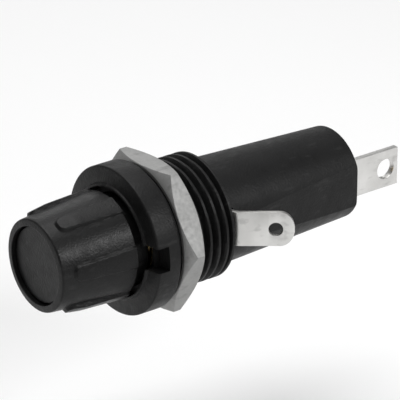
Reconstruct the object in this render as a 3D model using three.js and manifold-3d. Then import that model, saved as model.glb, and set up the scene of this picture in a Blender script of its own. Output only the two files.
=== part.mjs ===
// Panel-mount holder for a 6.35 x 31.8 mm cartridge fuse, with a screw cap.
// Millimetres. The fuse axis is the Y axis: the cap is at -Y and the end terminal at +Y.
// +Z is up and the side terminal leaves towards +X. The origin is at the centre of the
// flange's rear face, where the holder seats on its panel.
import * as THREE from 'three';
import { mergeVertices } from 'three/addons/utils/BufferGeometryUtils.js';
import Module from 'manifold-3d';

const wasm = await Module();
wasm.setup();

// ---- Driving dimensions ------------------------------------------------------------------

const GAP = 0.15; // clearance between two pieces that touch in the real holder
const ROUND = 36; // sides of a large round piece
const ROUND_SMALL = 20; // sides of a small round piece
const WIRE_SIDES = 8; // sides of a wire
const OVERCUT = 1; // how far a cutting tool runs past the face it cuts

const flange = { radius: 9.4, front: -3.15, edge: 0.35 };
const lip = { radius: 7.24, front: -3.65, boreRadius: 6.95, floor: -1.6 };
const notch = { angle: 4.6, width: 3.1, depth: 1.55, lipDepth: 1.3 };
const panelThread = { radius: 8, rootRadius: 7.2, pitch: 1.25, start: 0.8, turns: 6, end: 9.31 };
const barrel = { frontRadius: 6.84, rearRadius: 5.96, rear: 30.47, edge: 0.5, boreRadius: 4.2 };
const barrelFlat = { frontX: 6.75, rearX: 5.25, halfWidth: 4 };
const rearWall = { front: 28.6 };
const sleeve = { innerRadius: 4.85, outerRadius: 5.45, front: -1.4, rear: 9.1 };
const washer = { innerRadius: 8.3, outerRadius: 9.1, thickness: 0.5 };
const nut = { acrossFlats: 18.1, thickness: 2.9, cornerAngle: 1.6, boreRadius: 8.3, chamfer: 0.8 };

const sideLug = { width: 4.45, thickness: 0.6, height: 0.6, bendX: 6.9, bendY: 9.75, lean: 36.9 };
const sideLugEye = { length: 7.4, holeAt: 5.1, holeRadius: 0.9, tongueX: 4.9 };
const sideLugBend = { reach: 0.9, steps: 5 };
const endTab = { width: 5, thickness: 0.8, faceX: 3.6, tip: 38.35, holeY: 36.4, holeRadius: 1.35 };
const endFoot = { farX: -2.2 };
const rivet = { shankRadius: 1.05, headRadius: 1.8, headHeight: 0.6 };
const contactCup = { rimRadius: 3.9, rimThickness: 0.4, baseThickness: 0.4, height: 2.1 };

const fuse = { radius: 3.175, length: 31.8, rear: 27.0, capLength: 6.35, capWall: 0.25, capEnd: 0.4 };
const glass = { outerRadius: 2.72, innerRadius: 2.1 };
const fuseWireRadius = 0.15;
const solder = { radius: 0.9, height: 0.7 };

const knob = { front: -14.66, frontRadius: 5.8, rear: -4.42, valleyRadius: 6.72, edge: 0.35 };
const knobRib = { radius: 6.97, width: 2.6, count: 6, firstAngle: 7 };
const ribNose = { y: -12.9, radius: 6.36 };
const ribBend = { y: -10.5, radius: 6.7 };
const knobNeck = { radius: 6, rear: -2.2, boreRadius: 4.4, boreEnd: -12.9 };
const knobRecess = { radius: 4.9, depth: 0.95 };
const faceDisc = { radius: 4.75, thickness: 0.3, sunk: 0.55 };
const ferrule = { front: -12.7, rear: 7.2, outerRadius: 4.2, boreRadius: 3.45, headThickness: 0.5 };
const capThread = { radius: 4.6, front: -1.7, rear: 3.0 };
const ferruleFingers = { radius: 4.05, slotWidth: 0.7, slotFront: 3.5 };
const capRivet = { shankRadius: 0.9, headRadius: 1.5, headHeight: 0.3, counterbore: 0.45 };
const plunger = { radius: 3.2, thickness: 1.5, stemRadius: 1.4, stemLength: 2.1 };
const spring = { meanRadius: 2.6, wireRadius: 0.3, turns: 4.5, stepsPerTurn: 12 };

// ---- Shape helpers -----------------------------------------------------------------------

const degrees = THREE.MathUtils.degToRad;

// Makes a manifold solid of a closed geometry, with its faces pointing out.
function solidOf(geometry) {
  geometry.deleteAttribute('normal');
  geometry.deleteAttribute('uv');
  const merged = mergeVertices(geometry, 1e-5);
  const vertProperties = new Float32Array(merged.attributes.position.array);
  const corners = merged.index.array;
  const point = (index) => new THREE.Vector3().fromArray(vertProperties, 3 * index);
  const triangles = [];
  let volume = 0;
  for (let i = 0; i < corners.length; i += 3) {
    const [a, b, c] = [corners[i], corners[i + 1], corners[i + 2]];
    if (a === b || b === c || c === a) continue;
    triangles.push([a, b, c]);
    volume += point(a).dot(point(b).cross(point(c)));
  }
  const ordered = volume > 0 ? triangles : triangles.map(([a, b, c]) => [a, c, b]);
  const triVerts = new Uint32Array(ordered.flat());
  return new wasm.Manifold(new wasm.Mesh({ numProp: 3, vertProperties, triVerts }));
}

// Turns a profile of [radius, y] points around the Y axis. The profile ends on the axis or
// closes on itself.
function turned(profile, sides = ROUND) {
  const points = profile.map(([radius, y]) => new THREE.Vector2(radius, y));
  return solidOf(new THREE.LatheGeometry(points, sides));
}

function disc(radius, front, rear, sides = ROUND) {
  return turned([[0, front], [radius, front], [radius, rear], [0, rear]], sides);
}

function tube(innerRadius, outerRadius, front, rear, sides = ROUND) {
  const profile = [[innerRadius, front], [outerRadius, front], [outerRadius, rear], [innerRadius, rear]];
  return turned([...profile, profile[0]], sides);
}

// A box between two corners.
function block([x0, y0, z0], [x1, y1, z1]) {
  const box = new THREE.BoxGeometry(x1 - x0, y1 - y0, z1 - z0);
  box.translate((x0 + x1) / 2, (y0 + y1) / 2, (z0 + z1) / 2);
  return solidOf(box);
}

// Turns a solid about the Y axis, from +X towards +Z.
function spun(solid, angle) {
  return solid.rotate([0, -angle, 0]);
}

// Copies of a solid, evenly spaced about the Y axis and joined.
function ringOf(solid, count, firstAngle) {
  let ring = spun(solid, firstAngle);
  for (let i = 1; i < count; i += 1) {
    ring = ring.add(spun(solid, firstAngle + (360 / count) * i));
  }
  return ring;
}

// A flat plate in the YZ plane, from its outline in (y, z), between two values of x.
function plate(outline, x0, x1) {
  const settings = { depth: x1 - x0, bevelEnabled: false, curveSegments: 8 };
  const geometry = new THREE.ExtrudeGeometry(outline, settings);
  const columns = new THREE.Matrix4().set(0, 0, 1, x0, 1, 0, 0, 0, 0, 1, 0, 0, 0, 0, 0, 1);
  geometry.applyMatrix4(columns);
  return solidOf(geometry);
}

const model = new THREE.Group();

function addPiece(name, solid, look) {
  const { vertProperties, triVerts } = solid.getMesh();
  const geometry = new THREE.BufferGeometry();
  geometry.setAttribute('position', new THREE.BufferAttribute(new Float32Array(vertProperties), 3));
  geometry.setIndex(new THREE.BufferAttribute(new Uint32Array(triVerts), 1));
  geometry.computeVertexNormals();
  const mesh = new THREE.Mesh(geometry, new THREE.MeshStandardMaterial(look));
  mesh.name = name;
  model.add(mesh);
}

const blackPlastic = { color: 0x1b1b1c, roughness: 0.55, metalness: 0 };
const blackRubber = { color: 0x0d0d0d, roughness: 0.9, metalness: 0 };
const nickel = { color: 0xc9c5bd, roughness: 0.35, metalness: 1 };
const tinnedBrass = { color: 0xd6d4ce, roughness: 0.3, metalness: 1 };
const brass = { color: 0xc9a34e, roughness: 0.35, metalness: 1 };
const springSteel = { color: 0x9a9a98, roughness: 0.3, metalness: 1 };
const clearGlass = { color: 0xe4eeee, roughness: 0.05, metalness: 0, transparent: true, opacity: 0.35 };
const solderTin = { color: 0xb4b4b2, roughness: 0.45, metalness: 1 };

// ---- Holder body: flange, panel thread and barrel in one moulding --------------------------

// V-shaped ridges that stand for the panel thread, as [radius, y] points.
function threadRidges() {
  const points = [];
  for (let turn = 0; turn < panelThread.turns; turn += 1) {
    const root = panelThread.start + turn * panelThread.pitch;
    points.push([panelThread.rootRadius, root]);
    points.push([panelThread.radius, root + panelThread.pitch / 2]);
  }
  return points;
}

function barrelFlatCutter() {
  const outline = new THREE.Shape([
    new THREE.Vector2(barrelFlat.frontX, panelThread.end),
    new THREE.Vector2(barrelFlat.rearX, barrel.rear + OVERCUT),
    new THREE.Vector2(panelThread.radius, barrel.rear + OVERCUT),
    new THREE.Vector2(panelThread.radius, panelThread.end),
  ]);
  const depth = 2 * barrelFlat.halfWidth;
  const geometry = new THREE.ExtrudeGeometry(outline, { depth, bevelEnabled: false });
  geometry.translate(0, 0, -barrelFlat.halfWidth);
  return solidOf(geometry);
}

function bodyMoulding() {
  const contactBore = sleeve.outerRadius + GAP;
  const contactBoreEnd = sideLug.bendY + sideLug.thickness / 2 + GAP;
  const rivetHole = rivet.shankRadius + GAP;
  const start = [lip.boreRadius, lip.front];
  const profile = [
    start,
    [lip.radius, lip.front],
    [flange.radius - flange.edge, flange.front],
    [flange.radius, flange.front + flange.edge],
    [flange.radius, 0],
    [panelThread.rootRadius, 0],
    ...threadRidges(),
    [panelThread.rootRadius, panelThread.start + panelThread.turns * panelThread.pitch],
    [panelThread.radius, panelThread.end - panelThread.pitch / 4],
    [panelThread.radius, panelThread.end],
    [barrel.frontRadius, panelThread.end],
    [barrel.rearRadius, barrel.rear - barrel.edge],
    [barrel.rearRadius - barrel.edge, barrel.rear],
    [rivetHole, barrel.rear],
    [rivetHole, rearWall.front],
    [barrel.boreRadius, rearWall.front],
    [barrel.boreRadius, contactBoreEnd],
    [contactBore, contactBoreEnd],
    [contactBore, lip.floor],
    [lip.boreRadius, lip.floor],
    start,
  ];
  const notchCutter = block(
    [lip.radius, lip.front - OVERCUT, -notch.width / 2],
    [flange.radius + OVERCUT, flange.front + notch.depth, notch.width / 2],
  );
  const lipCutter = block(
    [lip.boreRadius - OVERCUT, lip.front - OVERCUT, -notch.width / 2],
    [flange.radius, lip.front + notch.lipDepth, notch.width / 2],
  );
  const halfSlot = sideLug.width / 2 + GAP;
  const lugSlot = block(
    [contactBore - OVERCUT, sideLug.bendY - sideLug.thickness / 2 - GAP, sideLug.height - halfSlot],
    [panelThread.radius + OVERCUT, contactBoreEnd, sideLug.height + halfSlot],
  );
  return turned(profile)
    .subtract(ringOf(notchCutter.add(lipCutter), 2, notch.angle))
    .subtract(barrelFlatCutter())
    .subtract(lugSlot);
}

addPiece('body_moulding', bodyMoulding(), blackPlastic);

// ---- Panel hardware ------------------------------------------------------------------------

const washerFront = GAP;
const washerRear = washerFront + washer.thickness;

addPiece('panel_washer', tube(washer.innerRadius, washer.outerRadius, washerFront, washerRear), blackRubber);

// A hexagon whose corners are cut back by a cone at each face.
function hexNut() {
  const front = washerRear + GAP;
  const rear = front + nut.thickness;
  const cornerRadius = nut.acrossFlats / 2 / Math.cos(Math.PI / 6);
  const faceRadius = nut.acrossFlats / 2;
  const hexagon = new THREE.CylinderGeometry(cornerRadius, cornerRadius, nut.thickness, 6);
  hexagon.rotateY(Math.PI / 2);
  hexagon.translate(0, (front + rear) / 2, 0);
  const chamfered = turned([
    [0, front],
    [faceRadius, front],
    [cornerRadius, front + nut.chamfer],
    [cornerRadius, rear - nut.chamfer],
    [faceRadius, rear],
    [0, rear],
  ], 2 * ROUND);
  const bore = disc(nut.boreRadius, front - OVERCUT, rear + OVERCUT);
  return spun(solidOf(hexagon), nut.cornerAngle).intersect(chamfered).subtract(bore);
}

addPiece('hex_nut', hexNut(), nickel);

// ---- Contacts and terminals ----------------------------------------------------------------

const contactSleeve = tube(sleeve.innerRadius, sleeve.outerRadius, sleeve.front, sleeve.rear);
addPiece('side_contact_sleeve', contactSleeve, brass);

// The tongue and the bend of the side terminal, as one strip swept along its middle line.
function sideTongue(lugDirection) {
  const bend = new THREE.Vector2(sideLug.bendX, sideLug.bendY);
  const bendStart = bend.clone().add(new THREE.Vector2(-sideLugBend.reach, 0));
  const bendEnd = bend.clone().addScaledVector(lugDirection, sideLugBend.reach);
  const curve = new THREE.QuadraticBezierCurve(bendStart, bend, bendEnd);
  const start = new THREE.Vector2(sideLugEye.tongueX, sideLug.bendY);
  const middle = [start, ...curve.getPoints(sideLugBend.steps)];
  const offset = (side) => middle.map((point, i) => {
    const t = Math.max(0, (i - 1) / sideLugBend.steps);
    const along = curve.getTangent(t);
    return new THREE.Vector2(along.y, -along.x).multiplyScalar(side * sideLug.thickness / 2).add(point);
  });
  const outline = new THREE.Shape([...offset(1), ...offset(-1).reverse()]);
  const geometry = new THREE.ExtrudeGeometry(outline, { depth: sideLug.width, bevelEnabled: false });
  geometry.translate(0, 0, sideLug.height - sideLug.width / 2);
  return solidOf(geometry);
}

// A tongue that leaves the moulding radially, and a solder lug bent back from it.
function sideTerminal() {
  const halfWidth = sideLug.width / 2;
  const halfThickness = sideLug.thickness / 2;
  const tipRadius = 0.7 * halfWidth;
  const tipStart = sideLugEye.length - tipRadius;
  const outline = new THREE.Shape();
  outline.moveTo(sideLugBend.reach, -halfWidth);
  outline.lineTo(tipStart, -halfWidth);
  outline.absellipse(tipStart, 0, tipRadius, halfWidth, -Math.PI / 2, Math.PI / 2, false, 0);
  outline.lineTo(sideLugBend.reach, halfWidth);
  const hole = new THREE.Path();
  hole.absarc(sideLugEye.holeAt, 0, sideLugEye.holeRadius, 0, 2 * Math.PI, true);
  outline.holes.push(hole);
  const lean = degrees(sideLug.lean);
  const lug = plate(outline, -halfThickness, halfThickness)
    .rotate([0, 0, -sideLug.lean])
    .translate([sideLug.bendX, sideLug.bendY, sideLug.height]);
  return lug.add(sideTongue(new THREE.Vector2(Math.sin(lean), Math.cos(lean))));
}

addPiece('side_terminal', sideTerminal(), tinnedBrass);

const footFront = barrel.rear + GAP;
const footRear = footFront + endTab.thickness;

// An L-shaped strip: a foot riveted to the barrel's rear wall, and a tab with a wire hole.
function endTerminal() {
  const halfWidth = endTab.width / 2;
  const foot = block([endFoot.farX, footFront, -halfWidth], [endTab.faceX, footRear, halfWidth]);
  const outline = new THREE.Shape([
    new THREE.Vector2(footFront, -halfWidth),
    new THREE.Vector2(endTab.tip, -halfWidth),
    new THREE.Vector2(endTab.tip, halfWidth),
    new THREE.Vector2(footFront, halfWidth),
  ]);
  const hole = new THREE.Path();
  hole.absarc(endTab.holeY, 0, endTab.holeRadius, 0, 2 * Math.PI, true);
  outline.holes.push(hole);
  const rivetHole = disc(rivet.shankRadius + GAP, footFront - OVERCUT, footRear + OVERCUT, ROUND_SMALL);
  return plate(outline, endTab.faceX - endTab.thickness, endTab.faceX).add(foot).subtract(rivetHole);
}

addPiece('end_terminal', endTerminal(), tinnedBrass);

const cupRear = rearWall.front - GAP;
const cupBase = cupRear - contactCup.baseThickness;

function endContactCup() {
  const rimInner = contactCup.rimRadius - contactCup.rimThickness;
  const rivetHole = rivet.shankRadius + GAP;
  const start = [rivetHole, cupBase];
  return turned([
    start,
    [rimInner, cupBase],
    [rimInner, cupRear - contactCup.height],
    [contactCup.rimRadius, cupRear - contactCup.height],
    [contactCup.rimRadius, cupRear],
    [rivetHole, cupRear],
    start,
  ], ROUND_SMALL);
}

addPiece('end_contact_cup', endContactCup(), brass);

function endContactRivet() {
  const innerHead = cupBase - GAP;
  const outerHead = footRear + GAP;
  return turned([
    [0, innerHead - rivet.headHeight],
    [rivet.headRadius, innerHead - rivet.headHeight],
    [rivet.headRadius, innerHead],
    [rivet.shankRadius, innerHead],
    [rivet.shankRadius, outerHead],
    [rivet.headRadius, outerHead],
    [rivet.headRadius, outerHead + rivet.headHeight],
    [0, outerHead + rivet.headHeight],
  ], ROUND_SMALL);
}

addPiece('end_contact_rivet', endContactRivet(), brass);

// ---- Cartridge fuse ------------------------------------------------------------------------

const fuseFront = fuse.rear - fuse.length;

// A metal cup on one end of the fuse. The direction is +1 where the cup opens towards +Y.
function fuseCap(end, direction) {
  const inner = fuse.radius - fuse.capWall;
  const mouth = end + direction * fuse.capLength;
  const floor = end + direction * fuse.capEnd;
  return turned([
    [0, end],
    [fuse.radius, end],
    [fuse.radius, mouth],
    [inner, mouth],
    [inner, floor],
    [0, floor],
  ]);
}

// A drop of solder inside a fuse cap, holding the fuse wire.
function solderDrop(end, direction) {
  const base = end + direction * (fuse.capEnd + GAP);
  const top = base + direction * solder.height;
  const middle = base + direction * 0.6 * solder.height;
  return turned([[0, base], [solder.radius, base], [0.7 * solder.radius, middle], [0, top]], ROUND_SMALL);
}

addPiece('fuse_front_cap', fuseCap(fuseFront, 1), nickel);
addPiece('fuse_rear_cap', fuseCap(fuse.rear, -1), nickel);
const glassInset = fuse.capEnd + GAP;
const glassTube = tube(glass.innerRadius, glass.outerRadius, fuseFront + glassInset, fuse.rear - glassInset);
addPiece('fuse_glass_tube', glassTube, clearGlass);
addPiece('fuse_front_solder', solderDrop(fuseFront, 1), solderTin);
addPiece('fuse_rear_solder', solderDrop(fuse.rear, -1), solderTin);
const wireInset = fuse.capEnd + solder.height + 2 * GAP;
const fuseWire = disc(fuseWireRadius, fuseFront + wireInset, fuse.rear - wireInset, WIRE_SIDES);
addPiece('fuse_element', fuseWire, solderTin);

// ---- Screw cap -----------------------------------------------------------------------------

const recessFloor = knob.front + knobRecess.depth;

// The moulded knob: a cone with six grip ribs, a neck that enters the flange, a bore for the
// ferrule, a hole for the ferrule's rivet and a recess for the face disc.
function capKnob() {
  const rivetHole = capRivet.shankRadius + GAP;
  const counterboreRadius = capRivet.headRadius + GAP;
  const counterboreFloor = recessFloor + capRivet.counterbore;
  const start = [rivetHole, counterboreFloor];
  const cone = turned([
    start,
    [counterboreRadius, counterboreFloor],
    [counterboreRadius, recessFloor],
    [knobRecess.radius, recessFloor],
    [knobRecess.radius, knob.front],
    [knob.frontRadius - knob.edge, knob.front],
    [knob.frontRadius, knob.front + knob.edge],
    [knob.valleyRadius, knob.rear],
    [knobNeck.radius, knob.rear],
    [knobNeck.radius, knobNeck.rear],
    [knobNeck.boreRadius, knobNeck.rear],
    [knobNeck.boreRadius, knobNeck.boreEnd],
    [rivetHole, knobNeck.boreEnd],
    start,
  ]);
  const ribRoot = knobNeck.boreRadius + GAP;
  const halfRib = knobRib.width / 2;
  const ribBar = block([ribRoot, ribNose.y, -halfRib], [knobRib.radius, knob.rear, halfRib]);
  const ribEnvelope = turned([
    [0, ribNose.y],
    [ribNose.radius, ribNose.y],
    [ribBend.radius, ribBend.y],
    [knobRib.radius, knob.rear],
    [0, knob.rear],
  ], 2 * ROUND);
  return cone.add(ringOf(ribBar, knobRib.count, knobRib.firstAngle).intersect(ribEnvelope));
}

addPiece('cap_knob', capKnob(), blackPlastic);

const faceFront = knob.front + faceDisc.sunk;
addPiece('cap_face_disc', disc(faceDisc.radius, faceFront, faceFront + faceDisc.thickness), blackPlastic);

// The ferrule: a brass cup held in the knob, threaded at its middle, with a split rear end
// whose four fingers grip the fuse.
function capFerrule() {
  const rivetHole = capRivet.shankRadius + GAP;
  const start = [rivetHole, ferrule.front];
  const cup = turned([
    start,
    [ferrule.outerRadius, ferrule.front],
    [ferrule.outerRadius, capThread.front],
    [capThread.radius, capThread.front],
    [capThread.radius, capThread.rear],
    [ferruleFingers.radius, capThread.rear],
    [ferruleFingers.radius, ferrule.rear],
    [ferrule.boreRadius, ferrule.rear],
    [ferrule.boreRadius, ferrule.front + ferrule.headThickness],
    [rivetHole, ferrule.front + ferrule.headThickness],
    start,
  ]);
  const halfSlot = ferruleFingers.slotWidth / 2;
  const slot = block(
    [fuse.radius, ferruleFingers.slotFront, -halfSlot],
    [ferruleFingers.radius + OVERCUT, ferrule.rear + OVERCUT, halfSlot],
  );
  return cup.subtract(ringOf(slot, 4, 45));
}

addPiece('cap_ferrule', capFerrule(), brass);

// The rivet that holds the ferrule in the knob. The face disc covers its front head.
function ferruleRivet() {
  const frontHead = recessFloor + capRivet.counterbore - GAP;
  const rearHead = ferrule.front + ferrule.headThickness + GAP;
  return turned([
    [0, frontHead - capRivet.headHeight],
    [capRivet.headRadius, frontHead - capRivet.headHeight],
    [capRivet.headRadius, frontHead],
    [capRivet.shankRadius, frontHead],
    [capRivet.shankRadius, rearHead],
    [capRivet.headRadius, rearHead],
    [capRivet.headRadius, rearHead + capRivet.headHeight],
    [0, rearHead + capRivet.headHeight],
  ], ROUND_SMALL);
}

addPiece('ferrule_rivet', ferruleRivet(), brass);

const plungerRear = fuseFront - GAP;
const plungerFront = plungerRear - plunger.thickness;

function capPlunger() {
  return turned([
    [0, plungerFront - plunger.stemLength],
    [plunger.stemRadius, plungerFront - plunger.stemLength],
    [plunger.stemRadius, plungerFront],
    [plunger.radius, plungerFront],
    [plunger.radius, plungerRear],
    [0, plungerRear],
  ], ROUND_SMALL);
}

addPiece('cap_plunger', capPlunger(), brass);

// The contact spring between the ferrule's head and the plunger, compressed as when closed.
class SpringCurve extends THREE.Curve {
  getPoint(t, target = new THREE.Vector3()) {
    const front = ferrule.front + ferrule.headThickness + GAP + spring.wireRadius;
    const rear = plungerFront - GAP - spring.wireRadius;
    const angle = 2 * Math.PI * spring.turns * t;
    const x = spring.meanRadius * Math.cos(angle);
    const z = spring.meanRadius * Math.sin(angle);
    return target.set(x, front + (rear - front) * t, z);
  }
}

function capSpring() {
  const section = new THREE.Shape();
  section.absarc(0, 0, spring.wireRadius, 0, 2 * Math.PI, false);
  const steps = Math.round(spring.turns * spring.stepsPerTurn);
  return solidOf(new THREE.ExtrudeGeometry(section, {
    steps,
    curveSegments: WIRE_SIDES / 2,
    bevelEnabled: false,
    extrudePath: new SpringCurve(),
  }));
}

addPiece('cap_spring', capSpring(), springSteel);

export default model;
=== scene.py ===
# Detailed model of a panel-mount holder for a cartridge fuse, built around its CAD frame.
# Blender units are metres. Dimensions here are in millimetres and are scaled by MM.
# The fuse axis is Y: the cap is at -Y, the end terminal at +Y, and +Z is up.
import math

import bmesh
import bpy
import numpy as np
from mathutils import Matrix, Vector


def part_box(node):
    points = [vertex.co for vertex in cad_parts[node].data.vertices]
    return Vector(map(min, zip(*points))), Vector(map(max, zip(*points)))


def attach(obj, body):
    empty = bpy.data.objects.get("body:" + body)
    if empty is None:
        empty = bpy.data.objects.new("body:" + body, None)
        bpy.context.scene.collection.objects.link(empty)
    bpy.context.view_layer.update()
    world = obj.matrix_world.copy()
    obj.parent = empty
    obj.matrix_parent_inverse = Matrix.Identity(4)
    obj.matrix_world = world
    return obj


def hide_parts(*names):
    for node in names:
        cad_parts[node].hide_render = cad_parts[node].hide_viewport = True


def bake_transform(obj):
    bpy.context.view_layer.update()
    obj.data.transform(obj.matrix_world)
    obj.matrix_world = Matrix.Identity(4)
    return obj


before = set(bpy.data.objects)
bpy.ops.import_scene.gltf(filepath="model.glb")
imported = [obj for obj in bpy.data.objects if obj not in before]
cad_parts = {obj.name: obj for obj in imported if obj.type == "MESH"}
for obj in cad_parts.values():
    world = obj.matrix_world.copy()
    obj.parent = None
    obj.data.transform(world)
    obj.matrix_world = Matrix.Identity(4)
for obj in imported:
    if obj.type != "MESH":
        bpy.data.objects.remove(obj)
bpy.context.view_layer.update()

MM = 0.001
TURN = 2 * math.pi
MERGE_DISTANCE = 0.0001
ON_AXIS = 1e-6


# ---- Places taken from the frame ---------------------------------------------------------------

def span(node):
    """The node's lowest and highest y, in millimetres."""
    low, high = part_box(node)
    return low.y / MM, high.y / MM


def top_radius(node):
    """Half the node's greatest height, in millimetres: the radius of a round node."""
    low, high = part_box(node)
    return (high.z - low.z) / 2 / MM


# ---- Driving dimensions, in millimetres --------------------------------------------------------

BODY_SIDES = 288
KNOB_SIDES = 576
SLEEVE_SIDES = 144
SMALL_SIDES = 96

FLANGE_RADIUS = top_radius("body_moulding")
FLANGE_FACE = -3.15
LIP_FRONT, BARREL_REAR = span("body_moulding")
LIP_BORE = 6.95
LIP_RADIUS = 7.24
LIP_FOOT_SPREAD = 0.12
LIP_FLOOR = -1.6
NOTCH_ANGLE = math.radians(4.6)
NOTCH_WIDTH = 3.1
NOTCH_DEPTH = 1.55
NOTCH_LIP_DEPTH = 1.3
NOTCH_OVERCUT = 0.02

THREAD_RADIUS = 8.0
THREAD_ROOT = 7.2
THREAD_PITCH = 1.25
THREAD_START = 0.3
THREAD_END = 9.31
THREAD_STEPS = 12
THREAD_LAND_START = 0.75
THREAD_LAND_RISE = 0.35

BARREL_FRONT_RADIUS = 6.84
BARREL_REAR_RADIUS = 5.96
BARREL_BORE = 4.2
CONTACT_BORE = 5.6
CONTACT_BORE_END = 10.2
FLAT_FRONT_X = 6.75
FLAT_REAR_X = 5.25
BARREL_REAR_ROUND = 0.55
RIVET_HOLE = 1.2
REAR_WALL_FRONT = 28.6

NUT_SIDES = 6
NUT_FLAT = 18.1 / 2
NUT_CORNER_ANGLE = math.radians(1.6)
NUT_CHAMFER_SLOPE = math.tan(math.radians(32))
NUT_BORE = 8.25
NUT_THREAD_HEIGHT = 0.18
NUT_COUNTERSINK = 0.25
NUT_FACE_INSET = 0.12
NUT_SHARP_DEGREES = 18

WASHER_BORE_RADIUS = 8.3
WASHER_SQUEEZE = 0.45

KNOB_FRONT, KNOB_NECK_REAR = span("cap_knob")
KNOB_REAR = -4.42
KNOB_FRONT_RADIUS = 5.8
KNOB_VALLEY_REAR = 6.72
RIB_RADIUS = 6.97
RIB_COUNT = 6
RIB_FIRST_ANGLE = math.radians(7)
RIB_NOSE = -12.9
RIB_NOSE_RADIUS = 6.36
RIB_BEND = -10.5
RIB_BEND_RADIUS = 6.7
RIB_HALF_WIDTH_NOSE = 1.05
RIB_HALF_WIDTH_REAR = 1.4
RIB_NOSE_ROUND = 0.8
RIB_EDGE = 0.13
RECESS_RADIUS = 4.9
RECESS_FLOOR = KNOB_FRONT + 0.95
RIVET_BORE = 1.05
COUNTERBORE_RADIUS = 1.65
COUNTERBORE_FLOOR = RECESS_FLOOR + 0.45
KNOB_BORE = 4.4
KNOB_BORE_END = -12.9
KNOB_NECK = 6.0

CAP_THREAD_PITCH = 1.5
CAP_THREAD_STEPS = 12
SLEEVE_BORE = 4.85
SLEEVE_THREAD_HEIGHT = 0.25
SLEEVE_THREAD_REAR = 5.0
FERRULE_NECK = 4.2
FERRULE_BORE = 3.45
FERRULE_FLOOR_THICKNESS = 0.5
FERRULE_THREAD_HEIGHT = 0.28
FERRULE_THREAD_FRONT = -1.7
FERRULE_THREAD_REAR = 3.0
FINGER_RADIUS = 4.05
FINGER_COUNT = 4
FINGER_FIRST_SLOT = math.radians(45)
FINGER_SLOT_WIDTH = 0.7
FINGER_SLOT_FRONT = 3.5

LUG_BEND = (6.9, 9.75)
LUG_LEAN = math.radians(36.9)
LUG_LENGTH = 7.4
LUG_WIDTH = 4.45
LUG_THICKNESS = 0.6
LUG_HEIGHT = 0.6
LUG_START_X = 4.9
LUG_BEND_REACH = 0.9
LUG_TIP_LENGTH = 1.75
LUG_SLOT_GAP = 0.15
LUG_HOLE_AT = 5.1
LUG_HOLE_RADIUS = 0.9

TAB_WIDTH = 5.0
TAB_THICKNESS = 0.8
TAB_FACE_X = 3.6
TAB_FOOT_X = -2.2
TAB_BEND_REACH = 0.7
TAB_HOLE_Y = 36.4
TAB_HOLE_RADIUS = 1.35


# ---- Mesh helpers ------------------------------------------------------------------------------

def make_object(name, points, faces, sharp_degrees=35):
    """A smooth-shaded object from points in millimetres, with edges sharper than the angle kept."""
    mesh = bpy.data.meshes.new(name)
    mesh.from_pydata((np.asarray(points, float) * MM).tolist(), [], faces)
    bm = bmesh.new()
    bm.from_mesh(mesh)
    bmesh.ops.remove_doubles(bm, verts=bm.verts, dist=MERGE_DISTANCE * MM)
    bmesh.ops.recalc_face_normals(bm, faces=bm.faces)
    bm.to_mesh(mesh)
    bm.free()
    mesh.polygons.foreach_set("use_smooth", [True] * len(mesh.polygons))
    mesh.set_sharp_from_angle(angle=math.radians(sharp_degrees))
    obj = bpy.data.objects.new(name, mesh)
    bpy.context.scene.collection.objects.link(obj)
    return obj


def ring_quads(ring_count, sides, closed=False):
    """Quads between each ring of points and the next. Rings follow each other in the list of
    points, and a closed run joins its last ring to its first."""
    faces = []
    for k in range(ring_count if closed else ring_count - 1):
        near = k * sides
        far = (k + 1) % ring_count * sides
        for i in range(sides):
            j = (i + 1) % sides
            faces.append([near + i, near + j, far + j, far + i])
    return faces


def end_faces(ring_count, sides):
    """The faces that close the first and the last ring."""
    last = ring_count * sides - 1
    return [list(range(sides)), list(range(last, last - sides, -1))]


def curve(start, corner, end, steps):
    """Points of a curve from start to end that bends towards the corner."""
    points = []
    for t in np.linspace(0, 1, steps):
        points.append((1 - t) ** 2 * start + 2 * t * (1 - t) * corner + t ** 2 * end)
    return points


def eased(corners, steps=5):
    """A profile from (radius, y, ease) corners. A curve cuts each corner and reaches its ease, or
    just under half of the side where that is shorter, along each side."""
    longest_share = 0.48
    points = []
    last = len(corners) - 1
    for i, (radius, y, ease) in enumerate(corners):
        here = np.array([radius, y], float)
        if ease == 0 or i in (0, last):
            points.append(here)
            continue
        before = np.array(corners[i - 1][:2], float) - here
        after = np.array(corners[i + 1][:2], float) - here
        start = here + before * min(longest_share, ease / np.linalg.norm(before))
        end = here + after * min(longest_share, ease / np.linalg.norm(after))
        points.extend(curve(start, here, end, steps))
    return [tuple(point) for point in points]


def turned(name, profile, sides, reshape=None, angles_at=None, closed=True, sharp_degrees=35):
    """Turns a profile of (radius, y) about the Y axis. A closed profile joins its last point to
    its first; otherwise it starts and ends on the axis. reshape(radius, y, angles) gives each
    ring its radii, and angles_at(radius, y) its angles."""
    even = np.arange(sides) / sides * TURN
    points = []
    rings = []
    for radius, y in profile:
        if radius < ON_AXIS:
            rings.append([len(points)] * sides)
            points.append((0.0, y, 0.0))
            continue
        angles = angles_at(radius, y) if angles_at else even
        radii = reshape(radius, y, angles) if reshape else np.full(sides, radius)
        rings.append(list(range(len(points), len(points) + sides)))
        points.extend(zip(radii * np.cos(angles), np.full(sides, y), radii * np.sin(angles)))
    pairs = list(zip(rings, rings[1:]))
    if closed:
        pairs.append((rings[-1], rings[0]))
    faces = []
    for near, far in pairs:
        for i in range(sides):
            j = (i + 1) % sides
            corners = [near[i], near[j], far[j], far[i]]
            faces.append(list(dict.fromkeys(corners)))
    return make_object(name, points, faces, sharp_degrees)


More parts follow.
